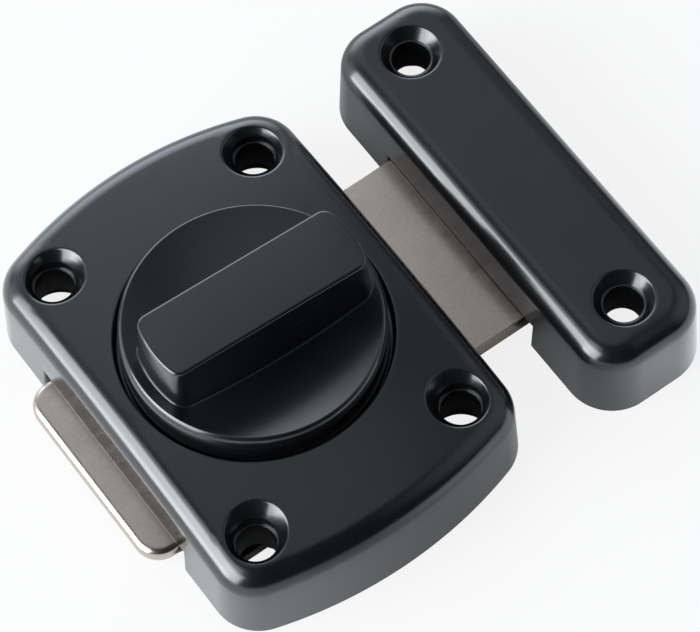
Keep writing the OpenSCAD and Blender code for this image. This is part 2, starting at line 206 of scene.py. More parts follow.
# Distances within which points are one, of pieces, of cutters and of plans, and the shortest edge that stays
MERGE = 1e-4
CUTTER_MERGE = 1e-5
PLAN_MERGE = 1e-7
SHORTEST_EDGE = 1e-5
TINY = 1e-9
SHARP_ANGLE = math.radians(32)


def circle(radius, count, cx=0.0, cy=0.0):
    """Points of a circle, anticlockwise."""
    a = np.arange(count) * 2 * math.pi / count
    return np.stack([cx + radius * np.cos(a), cy + radius * np.sin(a)], -1)


def at_height(points, z):
    """Plan points with a height, or one height each."""
    return np.column_stack([points, np.zeros(len(points)) + z])


def whole(quarter):
    """A whole outline of [x, y, direction], anticlockwise, from its quarter."""
    q = np.array(quarter, float)
    n = len(q)
    second = q[n - 2::-1] * [-1, 1, -1] + [0, 0, math.pi]
    third = q[1:] * [-1, -1, 1] + [0, 0, math.pi]
    fourth = q[n - 2:0:-1] * [1, -1, -1] + [0, 0, 2 * math.pi]
    return np.vstack([q, second, third, fourth])


def shifted(outline, out):
    """Plan points of an outline of [x, y, direction], moved out by a distance, or by one distance each."""
    x = outline[:, 0] + out * np.cos(outline[:, 2])
    y = outline[:, 1] + out * np.sin(outline[:, 2])
    return np.column_stack([x, y])


def bezier(t, start, bend, end):
    """What lies at t on a quadratic curve."""
    return (1 - t) ** 2 * start + 2 * t * (1 - t) * bend + t * t * end


def curve(start, bend, end, steps):
    """Points of a quadratic curve, for soft edges."""
    t = np.linspace(0, 1, steps + 1)[:, None]
    return bezier(t, *(np.array(p, float) for p in (start, bend, end)))


def lattice(half_x, half_y):
    """Points of a triangular grid over a rectangle round the origin."""
    rows = np.arange(-half_y, half_y, GRID_STEP * math.sqrt(3) / 2)
    columns = np.arange(-half_x, half_x, GRID_STEP)
    return np.array([(x + j % 2 * GRID_STEP / 2, y) for j, y in enumerate(rows) for x in columns])


def inside(points, loop):
    """Which plan points lie inside a closed loop."""
    x, y = points[:, 0], points[:, 1]
    result = np.zeros(len(points), bool)
    for (x0, y0), (x1, y1) in zip(loop, np.roll(loop, -1, 0)):
        crosses = (y0 > y) != (y1 > y)
        if crosses.any():
            at = x0 + (y - y0) * (x1 - x0) / (y1 - y0)
            result ^= crosses & (x < at)
    return result


class Build:
    """Collects patches of vertices and faces in millimetres, and makes one mesh of them."""

    def __init__(self):
        self.points = []
        self.faces = []
        self.count = 0

    def add(self, points, faces):
        """One patch, whose faces count its own points."""
        self.points.append(np.asarray(points, float))
        self.faces += [tuple(int(i) + self.count for i in f) for f in faces]
        self.count += len(points)

    def strips(self, loops):
        """Quads between loops with as many points each."""
        n = len(loops[0])
        nxt = np.roll(np.arange(n), -1)
        faces = []
        for j in range(len(loops) - 1):
            a = np.arange(n) + j * n
            b = nxt + j * n
            faces += list(zip(a, b, b + n, a + n))
        self.add(np.vstack(loops), faces)

    def plate(self, outer, inners, height, extra=()):
        """Triangles inside the outer loop and outside the inner ones, through extra plan points; height is a
        level, or a function of x and y."""
        loops = [outer[:, :2]] + [i[:, :2] for i in inners]
        plan = np.vstack(loops + ([extra] if len(extra) else []))
        edges = []
        base = 0
        for loop in loops:
            n = len(loop)
            edges += [(base + i, base + (i + 1) % n) for i in range(n)]
            base += n
        known = np.concatenate([outer[:, 2]] + [i[:, 2] for i in inners])
        verts, _, faces, origin, _, _ = delaunay_2d_cdt(
            [Vector((float(x), float(y))) for x, y in plan], edges, [], 1, PLAN_MERGE)
        verts = np.array([[v[0], v[1]] for v in verts])
        z = np.zeros(len(verts)) + (height(verts[:, 0], verts[:, 1]) if callable(height) else height)
        for i, source in enumerate(origin):
            if source and source[0] < len(known):
                z[i] = known[source[0]]
        faces = np.array(faces)
        middle = verts[faces].mean(1)
        keep = np.ones(len(faces), bool)
        for loop in loops[1:]:
            keep &= ~inside(middle, loop)
        self.add(np.column_stack([verts, z]), faces[keep])

    def mesh(self, name, merge, shortest=0.0):
        """A mesh of the joined patches, with its normals outwards."""
        mesh = bpy.data.meshes.new(name)
        mesh.from_pydata([tuple(p) for p in np.vstack(self.points)], [], self.faces)
        bm = bmesh.new()
        bm.from_mesh(mesh)
        bmesh.ops.remove_doubles(bm, verts=bm.verts, dist=merge)
        if shortest:
            bmesh.ops.dissolve_degenerate(bm, edges=bm.edges, dist=shortest)
        bmesh.ops.recalc_face_normals(bm, faces=bm.faces)
        bm.to_mesh(mesh)
        bm.free()
        return mesh


def link(name, data):
    """A new object in the scene."""
    made = bpy.data.objects.new(name, data)
    bpy.context.scene.collection.objects.link(made)
    return made


def make_object(name, build, cutters=()):
    """Joins the patches, cuts the cutters out, and writes metres, shaded smooth up to sharp edges."""
    piece = link(name, build.mesh(name, MERGE, SHORTEST_EDGE))
    for cutter in cutters:
        modifier = piece.modifiers.new("cut", "BOOLEAN")
        modifier.operation = "DIFFERENCE"
        modifier.solver = "MANIFOLD"
        modifier.object = cutter
    if cutters:
        uncut = piece.data
        depsgraph = bpy.context.evaluated_depsgraph_get()
        piece_cut = bpy.data.meshes.new_from_object(piece.evaluated_get(depsgraph))
        piece.modifiers.clear()
        piece.data = piece_cut
        bpy.data.meshes.remove(uncut)
        piece_cut.name = name
        for cutter in cutters:
            bpy.data.objects.remove(cutter)
    piece.data.transform(Matrix.Scale(MM, 4))
    finish_mesh(piece.data)
    return piece


def finish_mesh(mesh):
    """Triangulates faces with many corners and shades smooth, with sharp edges by angle."""
    bm = bmesh.new()
    bm.from_mesh(mesh)
    bmesh.ops.triangulate(bm, faces=[f for f in bm.faces if len(f.verts) > 4])
    bm.to_mesh(mesh)
    bm.free()
    mesh.polygons.foreach_set("use_smooth", [True] * len(mesh.polygons))
    mesh.set_sharp_from_angle(angle=SHARP_ANGLE)
    mesh.update()


def cutter_from_loops(loops):
    """A closed cutter through a stack of loops, in millimetres."""
    build = Build()
    build.strips(loops)
    for loop in (loops[0], loops[-1]):
        n = len(loop)
        build.add(np.vstack([loop, loop.mean(0)]), [(i, (i + 1) % n, n) for i in range(n)])
    return link("cutter", build.mesh("cutter", CUTTER_MERGE))


def cylinder_cutter(radius, z0, z1, cx=0.0, cy=0.0):
    """An upright cylinder between two levels."""
    plan = circle(radius, CUTTER_SEGMENTS, cx, cy)
    return cutter_from_loops([at_height(plan, z0), at_height(plan, z1)])


def box_cutter(low, high):
    """A box between two corners."""
    plan = np.array([[low[0], low[1]], [high[0], low[1]], [high[0], high[1]], [low[0], high[1]]])
    return cutter_from_loops([at_height(plan, low[2]), at_height(plan, high[2])])


class Shell:
    """A cast shell: drafted walls, a round edge and a face, centred on its own middle."""

    def __init__(self, width, length, end_r, corner_r, edge_r, face, steps):
        self.width, self.length = width, length
        self.end_r, self.corner_r, self.edge_r = end_r, corner_r, edge_r
        self.face = face
        self.steps = steps
        self.corner_x = width / 2 - corner_r
        self.end_y = length / 2 - end_r
        inner = end_r - corner_r
        self.corner_y = self.end_y + math.sqrt(inner ** 2 - self.corner_x ** 2)
        self.fan = math.asin(self.corner_x / inner)

    def outline(self):
        """Foot outline of [x, y, direction]: straight sides, round corners and bowed ends."""
        side, corner, end = self.steps
        quarter = [(self.width / 2, self.corner_y * i / side, 0) for i in range(side + 1)]
        for i in range(1, corner + 1):
            t = (math.pi / 2 - self.fan) * i / corner
            x = self.corner_x + self.corner_r * math.cos(t)
            quarter.append((x, self.corner_y + self.corner_r * math.sin(t), t))
        for i in range(1, end + 1):
            t = math.pi / 2 - self.fan * (1 - i / end)
            quarter.append((self.end_r * math.cos(t), self.end_y + self.end_r * math.sin(t), t))
        return whole(quarter)

    def wall_top(self, x, y):
        """Level at which the drafted wall turns into the round edge."""
        return self.face(x, y) - self.edge_r * (1 - math.sin(DRAFT))

    def wall_loop(self, outline, share):
        """Loop on the drafted wall, at a share of its height."""
        z = self.wall_top(outline[:, 0], outline[:, 1]) * share
        return at_height(shifted(outline, -z * math.tan(DRAFT)), z)

    def edge_loop(self, outline, degrees):
        """Loop on the round edge, at a turn from the wall's draft to a right angle at the face."""
        turn = math.radians(degrees)
        inset = self.wall_top(outline[:, 0], outline[:, 1]) * math.tan(DRAFT)
        inset = inset + self.edge_r * (math.cos(DRAFT) - math.cos(turn))
        plan = shifted(outline, -inset)
        return at_height(plan, self.face(plan[:, 0], plan[:, 1]) - self.edge_r * (1 - math.sin(turn)))

    def turn_cosine(self, x, y):
        """Cosine of the edge's turn above a plan point: 0 on the face, cos(DRAFT) at the wall."""
        px, py = np.abs(x), np.abs(y)
        side = py <= self.corner_y
        vx, vy = px - self.corner_x, py - self.corner_y
        rho = np.maximum(np.hypot(vx, vy), TINY)
        corner = ~side & (vx > 0) & (np.arctan2(vy, vx) <= math.pi / 2 - self.fan)
        ux, uy = px, py - self.end_y
        reach = np.maximum(np.hypot(ux, uy), TINY)

        def pick(at_side, at_corner, at_end):
            return np.where(side, at_side, np.where(corner, at_corner, at_end))

        inset = pick(self.width / 2 - px, self.corner_r - rho, self.end_r - reach)
        foot_x = pick(self.width / 2, self.corner_x + self.corner_r * vx / rho, self.end_r * ux / reach)
        foot_y = pick(py, self.corner_y + self.corner_r * vy / rho, self.end_y + self.end_r * uy / reach)
        drawn_in = self.wall_top(foot_x, foot_y) * math.tan(DRAFT)
        return np.clip(math.cos(DRAFT) - (inset - drawn_in) / self.edge_r, 0, math.cos(DRAFT))

    def top(self, x, y):
        """Height of the face and its round edge above a plan point."""
        c = self.turn_cosine(x, y)
        return self.face(x, y) - self.edge_r * (1 - np.sqrt(1 - c * c))


def screw_hole(build, shell, cx, cy, seat_z, ledge, relief):
    """Adds the rings of a countersunk screw hole, from its guard ring on the face down to the foot, and gives
    those two. relief holds the radius and height of the room behind it, and how far that reaches along Y."""
    ca, sa = circle(1, HOLE_SEGMENTS).T

    def on_face(r):
        return shell.top(cx + r * ca, cy + r * sa)

    def ring(r, z):
        return at_height(np.column_stack([cx + r * ca, cy + r * sa]), z)

    slope = (CSK_R - THROAT_R) / CSK_H
    down = np.array([-slope, -1]) / math.hypot(slope, 1)
    rim = np.full(HOLE_SEGMENTS, CSK_R)
    for _ in range(COUNTERSINK_ROUNDS):
        rim = CSK_R + slope * (on_face(rim) - seat_z)
    rim_z = on_face(rim)
    outer = rim + HOLE_LIP
    outer_z = on_face(outer)
    between = (HOLE_GUARD_R + outer) / 2
    guard = ring(HOLE_GUARD_R, on_face(HOLE_GUARD_R))
    rings = [guard, ring(between, on_face(between))]
    for t in np.linspace(0, 1, LIP_STEPS + 1):
        r = bezier(t, outer, rim, rim + down[0] * HOLE_LIP)
        z = bezier(t, outer_z, rim_z, rim_z + down[1] * HOLE_LIP)
        rings.append(ring(r, z))

    throat = np.array([THROAT_R, seat_z - CSK_H])
    step = np.array([HOLE_R, seat_z - ledge])
    if ledge > CSK_H:
        corner = np.array([THROAT_R, seat_z - ledge])
        profile = [curve(throat - down * THROAT_LIP, throat, throat - [0, THROAT_LIP], LIP_STEPS),
                   curve(corner + [0, LEDGE_LIP], corner, corner - [LEDGE_LIP, 0], LEDGE_STEPS)]
    else:
        profile = [curve(throat - down * LEDGE_LIP, throat, throat - [LEDGE_LIP, 0], LEDGE_STEPS)]
    profile.append(curve(step + [LEDGE_LIP, 0], step, step - [0, LEDGE_LIP], LEDGE_STEPS))
    relief_r, relief_h, reach = relief
    profile.append([(HOLE_R, relief_h + LEDGE_LIP), (HOLE_R + LEDGE_LIP, relief_h)])
    rings += [ring(r, z) for r, z in np.vstack(profile)]

    outer_half = sa * np.sign(reach) > TINY
    shift = np.column_stack([0 * sa, np.where(outer_half, reach, 0), 0 * sa])
    foot = ring(relief_r, 0) + shift
    rings += [ring(relief_r, relief_h) + shift, foot]
    build.strips(rings)
    return guard, foot


def recess(build, shell):
    """Adds the round recess for the disc, with a soft lip and a filleted floor, and gives its guard ring."""
    plan = circle(1, RECESS_SEGMENTS)

    def ring(r, z):
        return at_height(plan * r, z)

    def on_face(r):
        return shell.top(plan[:, 0] * r, plan[:, 1] * r)

    guard = ring(RECESS_GUARD_R, on_face(RECESS_GUARD_R))
    rings = [guard]
    top_z = on_face(RECESS_R)
    lip_z = on_face(RECESS_R + RECESS_LIP)
    for t in np.linspace(0, 1, LIP_STEPS + 1):
        r = RECESS_R + RECESS_LIP * (1 - t) ** 2
        rings.append(ring(r, bezier(t, lip_z, top_z, top_z - RECESS_LIP)))
    for t in np.linspace(0, math.pi / 2, FILLET_STEPS + 1):
        r = RECESS_R - RECESS_FILLET * (1 - math.cos(t))
        rings.append(ring(r, FLOOR_Z + RECESS_FILLET * (1 - math.sin(t))))
    middle = ring(RECESS_MIDDLE_R, FLOOR_Z)
    build.strips(rings + [middle])
    build.plate(middle, [], FLOOR_Z)
    return guard


def shell_build(shell, holes, seat_z, ledge, with_recess):
    """The closed shell with its screw holes and recess, before its foot is opened."""
    build = Build()
    outline = shell.outline()
    loops = [shell.wall_loop(outline, share) for share in WALL_SHARES]
    loops += [shell.edge_loop(outline, turn) for turn in EDGE_TURNS]
    build.strips(loops)
    guards = []
    feet = []
    for cx, cy, relief in holes:
        guard, foot = screw_hole(build, shell, cx, cy, seat_z, ledge, relief)
        guards.append(guard)
        feet.append(foot)
    clear = [(cx, cy, HOLE_GUARD_R) for cx, cy, _ in holes]
    if with_recess:
        guards.append(recess(build, shell))
        clear.append((0, 0, RECESS_GUARD_R))
    face_loops = [shell.edge_loop(outline, turn)[:, :2] for turn in FACE_TURNS]
    grid = lattice(shell.width / 2, shell.length / 2)
    grid = grid[inside(grid, face_loops[-1] * GRID_SHARE)]
    extra = np.vstack(face_loops + [grid])
    for cx, cy, r in clear:
        extra = extra[np.hypot(extra[:, 0] - cx, extra[:, 1] - cy) > r + RING_CLEARANCE]
    build.plate(loops[-1], guards, shell.top, extra)
    build.plate(loops[0], feet, 0)
    return build


def mouth_cutter(shell, sides):
    """Cutter of the bolt's slot: it leaves the drafted walls of the given sides (-1 or 1 along X) with a
    small rounded lip, and ends in the middle on the others."""

    def section(x_at, grow):
        half = SLOT_HALF + grow
        top = SLOT_Z + grow
        plan = [(-half, -OVER), (half, -OVER), (half, top), (-half, top)]
        return np.array([[x_at(z), y, z] for y, z in plan])

    def at_wall(side, inset, grow):
        return section(lambda z: side * (shell.width / 2 - max(z, 0) * math.tan(DRAFT) - inset), grow)

    loops = []
    for side in (-1, 1):
        if side in sides:
            rows = [at_wall(side, -OVER, SLOT_LIP)]
            for t in np.linspace(0, math.pi / 2, LIP_STEPS + 1):
                rows.append(at_wall(side, SLOT_LIP * (1 - math.cos(t)), SLOT_LIP * (1 - math.sin(t))))
        else:
            rows = [section(lambda z: 0, 0)]
        loops += rows if side < 0 else rows[::-1]
    return cutter_from_loops(loops)


def crown(x, y):
    """Height of the housing's face, crowned both ways."""
    return HOUSING_HIGH[2] - x * x / (2 * CROWN_X_R) - y * y / (2 * CROWN_Y_R)


def flat(x, y):
    """Height of the keeper's face, the same everywhere."""
    return KEEPER_HIGH[2] + 0 * x


def pocket_cutter(turn):
    """Weight-saving pocket between two screw bosses, at one end of the housing."""
    boss_r = RELIEF_R + RELIEF_REACH + WALL / 2
    boss_y = HOLE_DY / 2
    y0 = PLATE_HIGH[1] + WALL / 2
    y1 = boss_y + math.sqrt(boss_r ** 2 - HOLE_R ** 2)
    x1 = HOLE_DX / 2 - HOLE_R
    end_r = HOUSING_END_R - WALL
    end_y = HOUSING_HIGH[1] - HOUSING_END_R
    side = [(HOLE_DX / 2 - math.sqrt(boss_r ** 2 - (y - boss_y) ** 2), y)
            for y in np.linspace(y0, y1, POCKET_SIDE_STEPS + 1)]
    arc = [(x, end_y + math.sqrt(end_r ** 2 - x * x)) for x in np.linspace(x1, -x1, POCKET_END_STEPS + 1)]
    plan = np.array(side + arc + [(-x, y) for x, y in side[::-1]]) * turn
    return cutter_from_loops([at_height(plan, -OVER), at_height(plan, POCKET_H)])


def make_housing():
    """Housing casting with screw holes and recess, opened for bolt, back plate, cam, journal and pockets."""
    width, length = (HOUSING_HIGH - HOUSING_LOW)[:2]
    shell = Shell(width, length, HOUSING_END_R, HOUSING_CORNER_R, HOUSING_EDGE_R, crown, HOUSING_STEPS)
    corners = [(sx, sy) for sx in (-1, 1) for sy in (-1, 1)]
    holes = [(sx * HOLE_DX / 2, sy * HOLE_DY / 2, (RELIEF_R, RELIEF_H, sy * RELIEF_REACH))
             for sx, sy in corners]
    build = shell_build(shell, holes, crown(HOLE_DX / 2, HOLE_DY / 2), LEDGE_H, True)
    seat_low = PLATE_LOW - SEAT_FIT
    seat_high = PLATE_HIGH + SEAT_FIT
    cutters = [
        mouth_cutter(shell, (-1, 1)),
        box_cutter((seat_low[0], seat_low[1], -OVER), (seat_high[0], seat_high[1], PLATE_HIGH[2])),
        cylinder_cutter(CAM_ROOM_R, SLOT_Z - OVER, UNDER_Z),
        cylinder_cutter(JOURNAL_R + JOURNAL_FIT, SLOT_Z, FLOOR_Z + OVER),
        pocket_cutter(1),
        pocket_cutter(-1),
    ]
    for sx, sy in corners:
        cutters.append(cylinder_cutter(BACK_SCREW_R, 0, BACK_SCREW_L,
                                       sx * BACK_SCREW_DX / 2, sy * BACK_SCREW_DY / 2))
    return make_object("housing_cast", build, cutters)


def make_keeper():
    """Keeper casting with two screw holes, its mouth for the bolt and a hollow behind it."""
    width, length = (KEEPER_HIGH - KEEPER_LOW)[:2]
    shell = Shell(width, length, KEEPER_END_R, KEEPER_CORNER_R, KEEPER_EDGE_R, flat, KEEPER_STEPS)
    holes = [(0, sy * KEEPER_HOLE_DY / 2, (KEEPER_RELIEF_R, KEEPER_RELIEF_H, 0)) for sy in (-1, 1)]
    build = shell_build(shell, holes, KEEPER_HIGH[2], CSK_H, False)
    inner = width / 2 - KEEPER_WALL
    cutters = [
        mouth_cutter(shell, (-1,)),
        box_cutter((-inner, -SLOT_HALF, -OVER), (inner, SLOT_HALF, KEEPER_HIGH[2] - WALL)),
    ]
    piece = make_object("keeper_cast", build, cutters)
    piece.data.transform(Matrix.Translation((KEEPER_X * MM, KEEPER_Y * MM, 0)))
    return piece


def disc_rim():
    """Profile of the disc's rim as [radius, height]: a small round edge at the dish, then a bowed flank."""
    r, bow, tilt = DISC_RIM_R, DISC_FLANK_R, DISC_FLANK_TILT
    flank_r = DISC_R - bow * (1 - math.sin(tilt))
    flank_z = DISC_TOP - r * (1 - math.cos(tilt))
    crest_r = flank_r - r * math.sin(tilt)
    slope = math.atan(crest_r / (DISH_R + r))
    edge = np.linspace(-slope, tilt, RIM_STEPS + 1)
    flank = np.linspace(tilt, math.pi / 2, FLANK_STEPS + 1)[1:]
    radii = np.concatenate([crest_r + r * np.sin(edge), DISC_R - bow * (1 - np.sin(flank))])
    heights = np.concatenate([DISC_TOP - r * (1 - np.cos(edge)),
                              flank_z - bow * (math.cos(tilt) - np.cos(flank))])
    return np.column_stack([radii, heights])


def dish(x, y):
    """Height of the disc's dished top."""
    edge_r, edge_z = disc_rim()[0]
    return edge_z - (edge_r ** 2 - x * x - y * y) / (2 * DISH_R)


def grip_outline():
    """The grip's outline of [x, y, direction] at the level of the disc's rim: end arcs round the axis, round
    corners and long flanks."""
    corner_r = GRIP_CORNER_R
    reach = GRIP_L / 2 + GRIP_H * math.tan(GRIP_DRAFT)
    half = GRIP_W / 2 + GRIP_H * math.tan(GRIP_DRAFT)
    corner_y = half - corner_r
    fan = math.asin(corner_y / (reach - corner_r))
    corner_x = (reach - corner_r) * math.cos(fan)
    end, corner, flank = GRIP_STEPS
    quarter = []
    for t in [fan * i / end for i in range(end + 1)]:
        quarter.append((reach * math.cos(t), reach * math.sin(t), t))
    for t in [fan + (math.pi / 2 - fan) * i / corner for i in range(1, corner + 1)]:
        quarter.append((corner_x + corner_r * math.cos(t), corner_y + corner_r * math.sin(t), t))
    last_x = quarter[-1][0]
    quarter += [(last_x * (1 - i / flank), half, math.pi / 2) for i in range(1, flank + 1)]
    outline = whole(quarter)
    ct, st = math.cos(GRIP_TURN), math.sin(GRIP_TURN)
    x, y = outline[:, 0] + GRIP_X, outline[:, 1]
    return np.column_stack([x * ct - y * st, x * st + y * ct, outline[:, 2] + GRIP_TURN])


def grip_loops():
    """Loops of the grip, from its small fillet on the dish to the edge of its flat top."""
    outline = grip_outline()
    draft = math.tan(GRIP_DRAFT)

    def loop(out, rise):
        return at_height(shifted(outline, out), DISC_TOP + rise)

    depth = np.zeros(len(outline))
    for _ in range(FOOT_ROUNDS):
        foot = loop(depth * draft, -depth)
        depth = DISC_TOP - dish(foot[:, 0], foot[:, 1])
    low = depth - GRIP_FILLET_R
    wall = loop(low * draft, -low)
    skirt = loop(depth * draft + GRIP_FILLET_R, -depth)
    skirt[:, 2] = dish(skirt[:, 0], skirt[:, 1])
    loops = [bezier(t, wall, foot, skirt) for t in np.linspace(1, 0, LIP_STEPS + 1)]
    wall_rise = GRIP_H - GRIP_EDGE_R * (1 - math.sin(GRIP_DRAFT))
    high = loop(-wall_rise * draft, wall_rise)
    loops += [wall + (high - wall) * share for share in GRIP_WALL_SHARES]
    for t in np.linspace(GRIP_DRAFT, math.pi / 2, GRIP_EDGE_STEPS + 1):
        out = -wall_rise * draft - GRIP_EDGE_R * (math.cos(GRIP_DRAFT) - math.cos(t))
        loops.append(loop(out, GRIP_H - GRIP_EDGE_R * (1 - math.sin(t))))
    return loops


def cap_points(foot, rim_r):
    """Plan points on the dished top between the grip's foot and the rim: rings at the rim, one round the foot
    and a grid."""
    along_foot = np.roll(foot, -1, 0) - np.roll(foot, 1, 0)
    normal = np.column_stack([along_foot[:, 1], -along_foot[:, 0]])
    normal = normal / np.linalg.norm(along_foot, axis=1)[:, None]
    points = []
    for inset in CAP_RINGS:
        ring = circle(rim_r - inset, DISC_SEGMENTS)
        points.append(ring[~inside(ring, foot + normal * CAP_RING_TO_FOOT)])
    near = foot + normal * CAP_FOOT_RING
    points.append(near[np.hypot(near[:, 0], near[:, 1]) < rim_r - CAP_FOOT_RING_TO_RIM])
    grid = lattice(DISC_R, DISC_R)
    clear = ~inside(grid, foot + normal * CAP_GRID_TO_FOOT)
    clear &= np.hypot(grid[:, 0], grid[:, 1]) < rim_r - CAP_GRID_TO_RIM
    points.append(grid[clear])
    return np.vstack(points)


def make_thumbturn():
    """Dished disc, grip, journal and square drive as one casting."""
    build = Build()
    grip = grip_loops()
    build.strips(grip)
    build.plate(grip[-1], [], TURN_HIGH[2])
    rim = disc_rim()
    profile = [*rim, (DISC_R, DISC_BOTTOM + DISC_CHAMFER), (DISC_R - DISC_CHAMFER, DISC_BOTTOM),
               (JOURNAL_R, DISC_BOTTOM), (JOURNAL_R, CAM_HIGH[2])]
    rings = [at_height(circle(r, DISC_SEGMENTS), z) for r, z in profile]
    build.strips(rings)
    build.plate(rings[0], [grip[0]], dish, cap_points(grip[0][:, :2], rim[0][0]))
    half = SQUARE_W / 2
    square = np.array([(half, half), (-half, half), (-half, -half), (half, -half)])
    square_z = CAM_LOW[2] + PLAY
    square_top = at_height(square, CAM_HIGH[2])
    square_low = at_height(square, square_z)
    build.plate(rings[-1], [square_top], CAM_HIGH[2])
    build.strips([square_top, square_low])
    bore = circle(CAM_SCREW_R, BORE_SEGMENTS)
    bore_z = CAM_LOW[2] + CAM_SCREW_L
    bore_low = at_height(bore, square_z)
    bore_top = at_height(bore, bore_z)
    build.plate(square_low, [bore_low], square_z)
    build.strips([bore_low, bore_top])
    build.plate(bore_top, [], bore_z)
    return make_object("thumbturn_cast", build)


def bolt_edge_radius(x):
    """Radius of the bolt's long edges: bullnosed outside the housing and at the nose, cut between them."""
    tail = np.clip((TAIL_FADE[1] - x) / (TAIL_FADE[1] - TAIL_FADE[0]), 0, 1)
    nose = np.clip((x - NOSE_FADE[0]) / (NOSE_FADE[1] - NOSE_FADE[0]), 0, 1)
    return SIDE_R + (NOSE_R - SIDE_R) * max(tail, nose)


def bolt_outline():
    """The bolt plate's outline of [x, y, direction, edge radius]."""
    x0, x1, half, c = BOLT_LOW[0], BOLT_HIGH[0], BOLT_HIGH[1], BOLT_CORNER_R
    points = []

    def side(xa, xb, y, t):
        stations = np.linspace(xa, xb, BOLT_SIDE_STEPS + 1)[1:-1]
        points.extend((x, y, t, bolt_edge_radius(x)) for x in stations)

    def corner(cx, cy, t0):
        for t in np.linspace(t0, t0 + math.pi / 2, BOLT_CORNER_STEPS + 1):
            points.append((cx + c * math.cos(t), cy + c * math.sin(t), t, NOSE_R))

    def end(x, ya, yb, t):
        points.extend((x, y, t, NOSE_R) for y in np.linspace(ya, yb, BOLT_END_STEPS + 1)[1:-1])

    end(x1, -half + c, half - c, 0)
    corner(x1 - c, half - c, 0)
    side(x1 - c, x0 + c, half, math.pi / 2)
    corner(x0 + c, half - c, math.pi / 2)
    end(x0, half - c, -half + c, math.pi)
    corner(x0 + c, -half + c, math.pi)
    side(x0 + c, x1 - c, -half, 1.5 * math.pi)
    corner(x1 - c, -half + c, 1.5 * math.pi)
    return np.array(points)


def pin_slot():
    """Plan of the bolt's cross slot: the drive pin's path, widened by what the crank's sine motion differs
    from a steady ratio."""
    lag = CRANK_R * (math.sin(SWING / 2) - math.sin(SWING) / 2)
    r = PIN_R + lag + PIN_SLOT_PLAY
    x = CRANK_R * math.sin(SWING)
    low_y = CRANK_R * math.cos(SWING) - PIN_R - PIN_SLOT_PLAY + r
    high_y = CRANK_R + PIN_R + PIN_SLOT_PLAY - r
    plan = []
    for cy, start in ((high_y, 0), (low_y, math.pi)):
        for t in np.linspace(start, start + math.pi, PIN_SLOT_STEPS + 1):
            plan.append((x + r * math.cos(t), cy + r * math.sin(t)))
    return np.array(plan)


def make_bolt():
    """Bolt plate with bullnosed ends and a cross slot for the drive pin."""
    outline = bolt_outline()
    edge_r = outline[:, 3]
    z0, z1 = BOLT_LOW[2], BOLT_HIGH[2]

    def loop(turn, z, side):
        plan = shifted(outline, -edge_r * (1 - math.cos(turn)))
        return at_height(plan, z - side * edge_r * (1 - math.sin(turn)))

    turns = np.linspace(0, math.pi / 2, BOLT_EDGE_STEPS + 1)
    loops = [loop(t, z0, -1) for t in turns[::-1]] + [loop(t, z1, 1) for t in turns]
    build = Build()
    build.strips(loops)
    slot = pin_slot()
    for z, edge in ((z1, loops[-1]), (z0, loops[0])):
        build.plate(edge, [at_height(slot, z)], z)
    build.strips([at_height(slot, z0), at_height(slot, z1)])
    return make_object("bolt_plate", build)


# White of the world and the table, as cameras see them
WHITE = (1, 1, 1, 1)
# Range that most values of a noise lie in
NOISE_RANGE = (0.3, 0.7)
# Dark and light colour of each finish, its range of roughness, and the depths of its bumps in metres
BLACK_COLOURS = ((0.0040, 0.0044, 0.0049), (0.0054, 0.0059, 0.0065))
BLACK_ROUGHNESS = (0.23, 0.28)
GLOSS_ROUGHNESS = 0.16
COAT_IOR = 1.5
PEEL_DEPTH = 2.2e-6
STEEL_COLOURS = ((0.53, 0.455, 0.385), (0.66, 0.572, 0.495))
STEEL_ROUGHNESS = (0.19, 0.27)
GRAIN_STRETCH = (0.08, 1, 1)
GRAIN_DEPTH = 1.2e-6
SPECKLE_DEPTH = 2e-6
SPECKLE_SHARE = 0.5
ZINC_COLOURS = ((0.58, 0.60, 0.62), (0.70, 0.71, 0.73))
ZINC_ROUGHNESS = (0.24, 0.38)
ZINC_DEPTH = 2e-6
NYLON_COLOURS = ((0.68, 0.66, 0.60), (0.76, 0.74, 0.69))
NYLON_ROUGHNESS = (0.42, 0.55)
NYLON_DEPTH = 3e-6


def put(tree, value, socket):
    """Links another socket to an input, or sets the input to a number, vector or colour."""
    if isinstance(value, bpy.types.NodeSocket):
        tree.links.new(value, socket)
    else:
        socket.default_value = value


def feed(tree, node, **values):
    """Sets or links inputs of a node by name, with _ for each space."""
    for name, value in values.items():
        put(tree, value, node.inputs[name.replace("_", " ")])


def math_node(tree, operation, a, b):
    """A Math node of two values, each a socket or a number."""
    node = tree.nodes.new("ShaderNodeMath")
    node.operation = operation
    put(tree, a, node.inputs[0])
    put(tree, b, node.inputs[1])
    return node.outputs["Value"]


def vector_node(tree, operation, *vectors):
    """A Vector Math node of one or two vectors."""
    node = tree.nodes.new("ShaderNodeVectorMath")
    node.operation = operation
    for vector, socket in zip(vectors, node.inputs):
        put(tree, vector, socket)
    return node


def mapped(tree, value, source, target, kind="SMOOTHSTEP"):
    """A value taken from a source range to a target range."""
    node = tree.nodes.new("ShaderNodeMapRange")
    node.interpolation_type = kind
    feed(tree, node, Value=value, From_Min=source[0], From_Max=source[1], To_Min=target[0], To_Max=target[1])
    return node.outputs["Result"]


def mix(tree, data_type, factor, a, b, blend_type="MIX"):
    """A Mix node of two numbers or colours."""
    node = tree.nodes.new("ShaderNodeMix")
    node.data_type = data_type
    node.blend_type = blend_type
    feed(tree, node, Factor=factor, A=a, B=b)
    return node.outputs["Result"]


